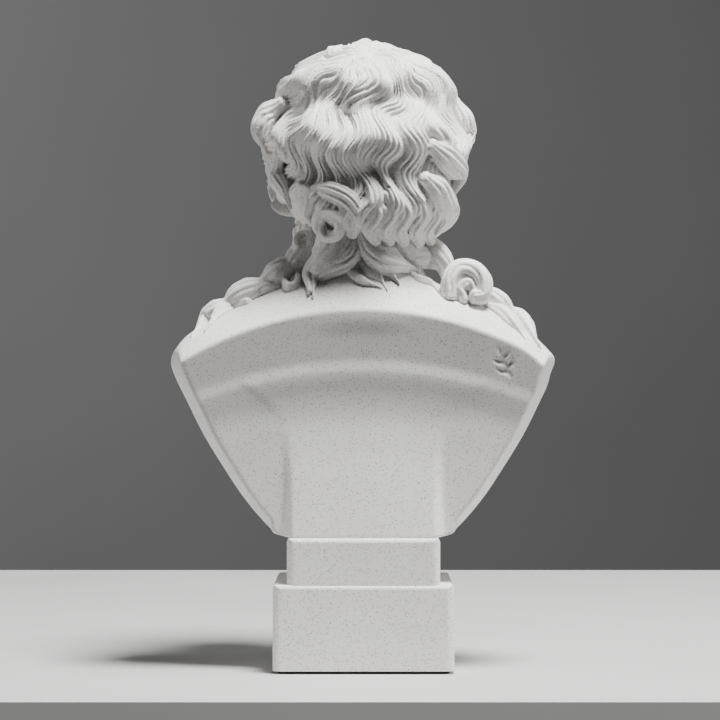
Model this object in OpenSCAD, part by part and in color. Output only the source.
// Bearded classical bust in cast marble, on a two-step socle, held by a tie rod through the socle.
// The origin is the centre of the socle's footprint, on the surface that it stands on. +Z is up.
// The bust faces -Y before its head is turned, and +X is its own left.

/* [Socle] */
// Width of the lower block, from side to side
plinth_w = 90; // [80:1:110]
// Depth of the lower block, from front to back
plinth_d = 84; // [76:1:100]
// Height of the lower block
plinth_h = 42.5; // [34:0.5:55]
// Width of the upper block
block_w = 76; // [66:1:78]
// Depth of the upper block
block_d = 76; // [66:1:78]
// Height of the upper block
block_h = 23; // [18:0.5:32]
// Radius of the socle's worn edges
edge_r = 2.2; // [1:0.1:3]
// Radius of the socle's upright corners
corner_r = 4; // [3.5:0.1:6]

/* [Shoulders] */
// Width over the two shoulder points
shoulder_w = 197; // [170:1:230]
// Height of the shoulder points above the bust's foot
shoulder_h = 88; // [76:1:104]
// Width of the foot, where the sides start to spread
foot_w = 100; // [90:1:112]
// Depth of the chest in front of the centre
chest_d = 50; // [42:1:60]
// Depth of the back behind the centre
back_d = 38; // [34:1:44]
// Height of the back's top edge above the bust's foot, at its middle
back_edge_h = 113; // [100:1:120]
// Height of the band along the back's top edge
band_h = 26; // [18:1:32]
// Width of the support up the middle of the back
support_w = 73; // [62:1:76]
// Depth of the hollows beside the support
hollow_d = 11; // [6:0.5:14]

/* [Head] */
// Height of the crown above the bust's foot
crown_h = 253; // [230:1:285]
// Width over the hair
hair_w = 107; // [96:1:120]
// Height of the head itself, from the chin to the top of the skull
head_h = 115; // [100:1:128]
// How far the beard hangs below the chin
beard_l = 9; // [4:1:16]
// Depth of the head in front of its axis, at the brow
face_d = 48; // [42:1:54]
// Depth of the hair behind the head's axis
nape_d = 60; // [52:1:66]
// Width of the neck
neck_w = 60; // [52:1:68]
// Turn of the head towards the bust's own left
head_turn = 14; // [0:1:20]
// How far the nose stands out
nose_d = 12; // [8:0.5:15]

/* [Fixing] */
// Diameter of the tie rod
rod_d = 6; // [5:0.5:8]
// Length of rod that the anchor sleeve holds
grip_l = 22; // [16:1:30]
// Wall of the anchor sleeve
sleeve_wall = 3; // [2:0.5:4]
// Diameter of the washer
washer_d = 24; // [18:1:26]
// Thickness of the washer
washer_t = 2; // [1.5:0.5:3]
// Width of the nut across its flats
nut_af = 10; // [8:0.5:13]
// Height of the nut
nut_h = 5; // [4:0.5:6.5]
// Depth of the recess for the washer and nut
recess_h = 14; // [12:1:18]
// Diameter of a locating pin
pin_d = 5; // [4:0.5:6]
// Length of a locating pin
pin_l = 18; // [12:1:24]
// Distance between the two pins
pin_pitch = 48; // [40:1:54]

/* [Felt] */
// Thickness of the felt pad
felt_t = 1.5; // [1:0.5:3]
// How far the felt is set in from the socle's edge
felt_inset = 2.5; // [2:0.5:5]

/* [Hidden] */

$fn = 64;
ring_n = 80;         // points around the bust's surface
head_rings = 38;     // levels of points from the neck to the crown
play = 0.05;         // radial clearance of a pin or sleeve in its hole
rod_play = 0.4;      // radial clearance of the rod in the socle
rod_chamfer = 0.8;
end_gap = 1;         // room past the end of a pin, rod or sleeve
washer_play = 1.5;   // room around the washer in its recess

block_z = felt_t + plinth_h;          // top of the lower block
foot_z = block_z + block_h;           // top of the upper block, where the bust stands
back_step = 1;                        // step between the backs of the two blocks
block_y = (plinth_d - block_d) / 2 - back_step;
sleeve_d = rod_d + 2 * sleeve_wall;
washer_z = felt_t + recess_h - washer_t;
nut_z = washer_z - nut_h;
rod_end = 1.5;                        // length of rod that shows below the nut
rod_bottom = nut_z - rod_end;
rod_top = foot_z + grip_l;

// ---- Curves ----

function smooth(t) = let (c = min(max(t, 0), 1)) c * c * (3 - 2 * c);
function bell(d, size) = exp(-pow(d / size, 2));
function stretch(z, table, i = 0) =
    i >= len(table) - 2 || z < table[i + 1][0] ? i : stretch(z, table, i + 1);
function slope(a, b) = (b[1] - a[1]) / (b[0] - a[0]);

// Value at z on a smooth curve through the table's [z, value] points.
function curve(z, table) =
    let (i = stretch(z, table), last = len(table) - 1,
         p = table[i], q = table[i + 1], run = q[0] - p[0], t = (z - p[0]) / run,
         m = slope(table[max(i - 1, 0)], q) * run,
         n = slope(p, table[min(i + 2, last)]) * run)
    (2*t*t*t - 3*t*t + 1) * p[1] + (t*t*t - 2*t*t + t) * m
    + (3*t*t - 2*t*t*t) * q[1] + (t*t*t - t*t) * n;

// ---- Shoulders: heights are above the foot ----
// Each level is a closed ring of points. It arches from the two sides up to the middle, as the
// back's top edge does, so that the edge and the band under it lie along rings.

half_w = shoulder_w / 2;
half_neck = neck_w / 2;
neck_h = 1.36 * shoulder_h;       // level at which the shoulders have run into the neck
neck_root = half_neck + 9;        // half the neck's width there
neck_root_d = half_neck + 2;      // half its depth there
neck_y = 2;                       // the neck's axis
neck_tilt = 10;                   // the neck's root is this much lower in front than its axis
chest_rise = 12;                  // the chest's top is this much higher in the middle than at the sides
side_cut = 7;                     // how far the sides lean in from the front outline to the back

// Half the width of the front outline up to the shoulder points: the foot, then the spreading sides.
spread = half_w - foot_w / 2;
sides = [
    [0, block_w / 2],
    [0.04 * shoulder_h, foot_w / 2 - 1], [0.10 * shoulder_h, foot_w / 2 + 0.12 * spread],
    [0.47 * shoulder_h, foot_w / 2 + 0.57 * spread], [0.80 * shoulder_h, foot_w / 2 + 0.90 * spread],
    [0.94 * shoulder_h, half_w - 0.5], [shoulder_h, half_w]];
// Half the width of the shoulders' top, from the shoulder points to the neck.
shoulder_line = [
    [shoulder_h, half_w], [1.05 * shoulder_h, half_w - 3],
    [1.12 * shoulder_h, half_neck + 0.84 * (half_w - half_neck)],
    [1.22 * shoulder_h, half_neck + 0.52 * (half_w - half_neck)], [1.30 * shoulder_h, neck_root + 7],
    [neck_h, neck_root]];
// The chest's front line in the middle, and the front edge of the sides.
chest_line = [
    [0, -0.68 * chest_d], [0.12 * shoulder_h, -0.82 * chest_d], [0.62 * shoulder_h, -chest_d],
    [0.95 * shoulder_h, -0.92 * chest_d], [1.12 * shoulder_h, -0.74 * chest_d],
    [neck_h, neck_y - neck_root_d]];
side_line = [
    [0, -0.52 * chest_d], [0.1 * shoulder_h, -0.36 * chest_d], [shoulder_h, -0.10 * chest_d],
    [neck_h, neck_y]];

band_share = 1 - band_h / back_edge_h;   // the ring along the band's lower edge, as a share of the back
plate_rings = 22;
top_rings = 9;
body_rings = plate_rings + top_rings;

// How far the support's edge stands from the middle: straight at the foot, flared under the band.
function support_half(share) = support_w / 2 + 20 * pow(smooth((share - 0.5) / (band_share - 0.5)), 2);
function hollow(x, share) =
    smooth((band_share - share) / 0.045 + 0.4)
    * (hollow_d * smooth((abs(x) - support_half(share)) / 5)
       + 3 * bell(share - band_share + 0.12, 0.16));
function band_lean(share) = 3 * smooth((1 - share) / (1 - band_share));

// The back's points stand closest along the support's two edges. q runs from 1 to -1.
edge_q = 0.42;       // share of the points on the support
edge_run = 0.16;     // share of them on each edge
edge_x = 7;          // width of an edge
function back_x(q, w, half) =
    let (a = abs(q), edge = min(half, w - edge_x - 4), outer = edge + edge_x,
         x = a < edge_q ? edge * a / edge_q
             : a < edge_q + edge_run ? edge + edge_x * (a - edge_q) / edge_run
             : outer + (w - outer) * (a - edge_q - edge_run) / (1 - edge_q - edge_run))
    sign(q) * x;

function ring_angle(i) = i * 360 / ring_n;
function arch(x, w, side_h, middle_h) = side_h + (middle_h - side_h) * (1 - pow(x / w, 2));

// A point of the part below the back's top edge. share is 0 at the foot and 1 along that edge.
function plate_point(t, share) =
    let (side_h = share * shoulder_h, w = curve(side_h, sides), back_w = w - side_cut * smooth(side_h / 10),
         middle = curve(side_h, chest_line), side = curve(side_h, side_line))
    cos(t) >= 0
    ? let (x = w * sin(t))
        [x, middle + (side - middle) * pow(abs(x) / w, 2.3),
         foot_z + arch(x, w, side_h, side_h + chest_rise * share)]
    : let (x = back_x((180 - t) / 90, back_w, support_half(share)))
        [x, back_d - hollow(x, share) - band_lean(share),
         foot_z + arch(x, back_w, side_h, share * back_edge_h)];

// A point of the shoulders' top. rise is 0 along the back's top edge and 1 around the neck's root.
function top_point(t, rise) =
    let (side_h = shoulder_h + (neck_h - shoulder_h) * rise, w = curve(side_h, shoulder_line),
         back_w = w - side_cut * (1 - smooth(3 * rise)), even = smooth(2 * rise),
         middle = curve(side_h, chest_line), side = curve(side_h, side_line),
         tilt = neck_tilt * cos(t) * rise)
    cos(t) >= 0
    ? let (x = w * sin(t))
        [x, middle + (side - middle) * pow(abs(x) / w, 2 + 0.3 * (1 - rise)),
         foot_z + side_h + chest_rise * (1 - pow(x / w, 2)) * (1 - rise) - tilt]
    : let (x = even * back_w * sin(t) + (1 - even) * back_x((180 - t) / 90, back_w, support_half(1)),
           round = sqrt(max(1 - pow(x / back_w, 2), 0)),
           neck = neck_y + neck_root_d * round, low = back_edge_h - shoulder_h)
        [x, back_d + (neck - back_d) * pow(rise, 0.9),
         foot_z + side_h + low * (1 - pow(x / back_w, 2)) * (1 - rise) - tilt];

function body_point(k, t) = k < plate_rings
    ? plate_point(t, k / (plate_rings - 1)) : top_point(t, (k - plate_rings + 1) / top_rings);

// ---- Head: depths are from the head's axis, towards the face and towards the nape ----

head_y = -10;                     // the head hangs in front of the neck
head_base = neck_h + 2;
skull_h = crown_h - 10;           // top of the skull, under the hair
chin_h = skull_h - head_h;
brow_h = chin_h + 0.58 * head_h;
nose_h = chin_h + 0.33 * head_h;  // the nose's tip
mouth_h = chin_h + 0.22 * head_h;
half_hair = hair_w / 2;

head_half_w = [
    [head_base, half_neck + 6], [head_base + 6, half_neck + 1], [chin_h + 0.14 * head_h, half_neck + 1],
    [chin_h + 0.27 * head_h, 0.82 * half_hair], [chin_h + 0.40 * head_h, 0.95 * half_hair],
    [brow_h, half_hair], [crown_h - 32, 0.95 * half_hair],
    [crown_h - 16, 0.76 * half_hair], [crown_h - 5, 0.45 * half_hair],
    [crown_h, 0.1 * half_hair]];
face_line = [
    [head_base, neck_root_d], [head_base + 2, 0.70 * face_d + beard_l / 3],
    [head_base + 6, 0.88 * face_d + beard_l],
    [chin_h + 0.12 * head_h, face_d + beard_l], [mouth_h, face_d + 0.6 * beard_l], [nose_h, face_d + 2],
    [brow_h, face_d], [skull_h - 26, face_d], [crown_h - 14, 0.88 * face_d], [crown_h - 5, 0.52 * face_d],
    [crown_h, 0.1 * face_d]];
nape_line = [
    [head_base, neck_root_d - 1], [head_base + 10, half_neck + 4], [chin_h + 0.2 * head_h, 0.78 * nape_d],
    [chin_h + 0.36 * head_h, 0.92 * nape_d], [brow_h, nape_d], [crown_h - 32, 0.94 * nape_d],
    [crown_h - 16, 0.75 * nape_d], [crown_h - 5, 0.43 * nape_d], [crown_h, 0.1 * nape_d]];

// The face's relief: nose, brows, eyes in their sockets, cheekbones and lips. x is across the face.
function face_relief(x, h) =
    nose_d * (0.45 + 0.55 * smooth((brow_h - h) / (brow_h - nose_h))) * bell(x, 5 + 3 * bell(h - nose_h, 9))
    * smooth((h - nose_h + 6) / 7) * smooth((brow_h + 10 - h) / 14)
    + 2.5 * bell(abs(x) - 16, 13) * bell(h - brow_h - 1, 4)
    - 5.5 * bell(abs(x) - 15, 9) * bell(h - brow_h + 10, 8)
    + 3 * bell(abs(x) - 16, 6.5) * bell(h - brow_h + 11, 4.5)
    + 2 * bell(abs(x) - 27, 10) * bell(h - nose_h - 6, 9)
    + 2 * bell(x, 11) * (bell(h - mouth_h - 3, 2.6) + bell(h - mouth_h + 4, 2.8));

// The hair's waves. a is the angle around the head from the face.
hair_wave = 2.6;
hair_locks = 11;
function is_hair(a, h) = max(smooth((abs(a) - 54) / 14), smooth((h - brow_h - 28) / 8));
function hair_relief(a, h) =
    is_hair(a, h) * hair_wave * cos(hair_locks * a + 40 * sin(14 * h)) * (0.45 + 0.55 * sin(15 * h))
    * smooth((crown_h - h) / 14) * smooth((h - chin_h - 4) / 8);

function head_point(t, v) =
    let (h = head_base + (crown_h - head_base) * (0.5 * v + 0.5 * sin(90 * v)),
         s = t > 180 ? t - 360 : t, a = s - 20 * sin(s),
         turn = head_turn * smooth(4 * v), w = curve(h, head_half_w),
         d = curve(h, cos(a) >= 0 ? face_line : nape_line),
         x = w * sin(a), y = -d * cos(a),
         out = (cos(a) > 0 ? face_relief(x, h) : 0) + hair_relief(a, h),
         px = x + out * sin(a), py = y - out * cos(a))
    [px * cos(turn) - py * sin(turn),
     px * sin(turn) + py * cos(turn) + neck_y + (head_y - neck_y) * smooth(5 * v),
     foot_z + h - neck_tilt * cos(a) * (1 - smooth(4 * v))];

// ---- The closed surface, ring above ring ----

ring_count = body_rings + head_rings;
bust_points = [
    for (k = [0:ring_count - 1], i = [0:ring_n - 1])
        k < body_rings ? body_point(k, ring_angle(i))
                       : head_point(ring_angle(i), (k - body_rings) / (head_rings - 1))];
bust_faces = concat(
    [for (k = [0:ring_count - 2], i = [0:ring_n - 1], half = [0:1])
        let (a = k * ring_n + i, b = k * ring_n + (i + 1) % ring_n)
        half == 0 ? [a, a + ring_n, b] : [b, a + ring_n, b + ring_n]],
    [[for (i = [0:ring_n - 1]) i]],
    [[for (i = [ring_n - 1:-1:0]) (ring_count - 1) * ring_n + i]]);

module pin_places() {
    for (side = [-1, 1]) translate([side * pin_pitch / 2, block_y, 0]) children();
}

module bust() {
    color("gainsboro") difference() {
        polyhedron(points = bust_points, faces = bust_faces);
        translate([0, block_y, foot_z - 1])
            cylinder(d = sleeve_d + 2 * play, h = grip_l + end_gap + 1);
        pin_places() translate([0, 0, foot_z - 1])
            cylinder(d = pin_d + 2 * play, h = pin_l / 2 + end_gap + 1);
    }
}

// ---- Socle ----

// A block with round upright corners and a worn top edge, as what three outlines have in common.
module worn_block(w, d, h) {
    intersection() {
        linear_extrude(height = h) rounded(w, d, corner_r);
        rotate([90, 0, 0]) linear_extrude(height = d + 2, center = true) worn_side(w, h);
        rotate([90, 0, 90]) linear_extrude(height = w + 2, center = true) worn_side(d, h);
    }
}

module rounded(w, d, r) {
    square([w - 2 * r, d], center = true);
    square([w, d - 2 * r], center = true);
    for (sx = [-1, 1], sy = [-1, 1]) translate([sx * (w / 2 - r), sy * (d / 2 - r)]) circle(r = r);
}

module worn_side(w, h) {
    translate([-w / 2, 0]) square([w, h - edge_r]);
    translate([edge_r - w / 2, 0]) square([w - 2 * edge_r, h]);
    for (side = [-1, 1]) translate([side * (w / 2 - edge_r), h - edge_r]) circle(r = edge_r);
}

module socle() {
    color("gainsboro") difference() {
        union() {
            translate([0, 0, felt_t]) worn_block(plinth_w, plinth_d, plinth_h);
            translate([0, block_y, block_z - 1]) worn_block(block_w, block_d, block_h + 1);
        }
        translate([0, block_y, 0]) cylinder(d = rod_d + 2 * rod_play, h = foot_z + 1);
        translate([0, block_y, 0]) cylinder(d = washer_d + 2 * washer_play, h = felt_t + recess_h);
        pin_places() translate([0, 0, foot_z - pin_l / 2 - end_gap])
            cylinder(d = pin_d + 2 * play, h = pin_l / 2 + end_gap + 1);
    }
}

module felt_pad() {
    color("darkgreen") linear_extrude(height = felt_t)
        rounded(plinth_w - 2 * felt_inset, plinth_d - 2 * felt_inset, corner_r - 1);
}

// ---- Fixing ----

module anchor_sleeve() {
    color("goldenrod") translate([0, block_y, foot_z]) difference() {
        cylinder(d = sleeve_d, h = grip_l + end_gap / 2);
        translate([0, 0, -1]) cylinder(d = rod_d + 2 * play, h = grip_l + end_gap + 2);
    }
}

module tie_rod() {
    color("silver") translate([0, block_y, 0]) {
        translate([0, 0, rod_bottom + rod_chamfer])
            cylinder(d = rod_d, h = rod_top - rod_bottom - 2 * rod_chamfer);
        translate([0, 0, rod_bottom])
            cylinder(d1 = rod_d - 2 * rod_chamfer, d2 = rod_d, h = rod_chamfer);
        translate([0, 0, rod_top - rod_chamfer])
            cylinder(d1 = rod_d, d2 = rod_d - 2 * rod_chamfer, h = rod_chamfer);
    }
}

module rod_washer() {
    color("silver") translate([0, block_y, washer_z]) difference() {
        cylinder(d = washer_d, h = washer_t);
        translate([0, 0, -1]) cylinder(d = rod_d + 2 * rod_play, h = washer_t + 2);
    }
}

module rod_nut() {
    color("silver") translate([0, block_y, nut_z]) difference() {
        cylinder(d = nut_af / cos(30), h = nut_h, $fn = 6);
        translate([0, 0, -1]) cylinder(d = rod_d + 2 * play, h = nut_h + 2);
    }
}

module locating_pins() {
    color("silver") pin_places() translate([0, 0, foot_z - pin_l / 2]) cylinder(d = pin_d, h = pin_l);
}

bust();
socle();
felt_pad();
anchor_sleeve();
tie_rod();
rod_washer();
rod_nut();
locating_pins();
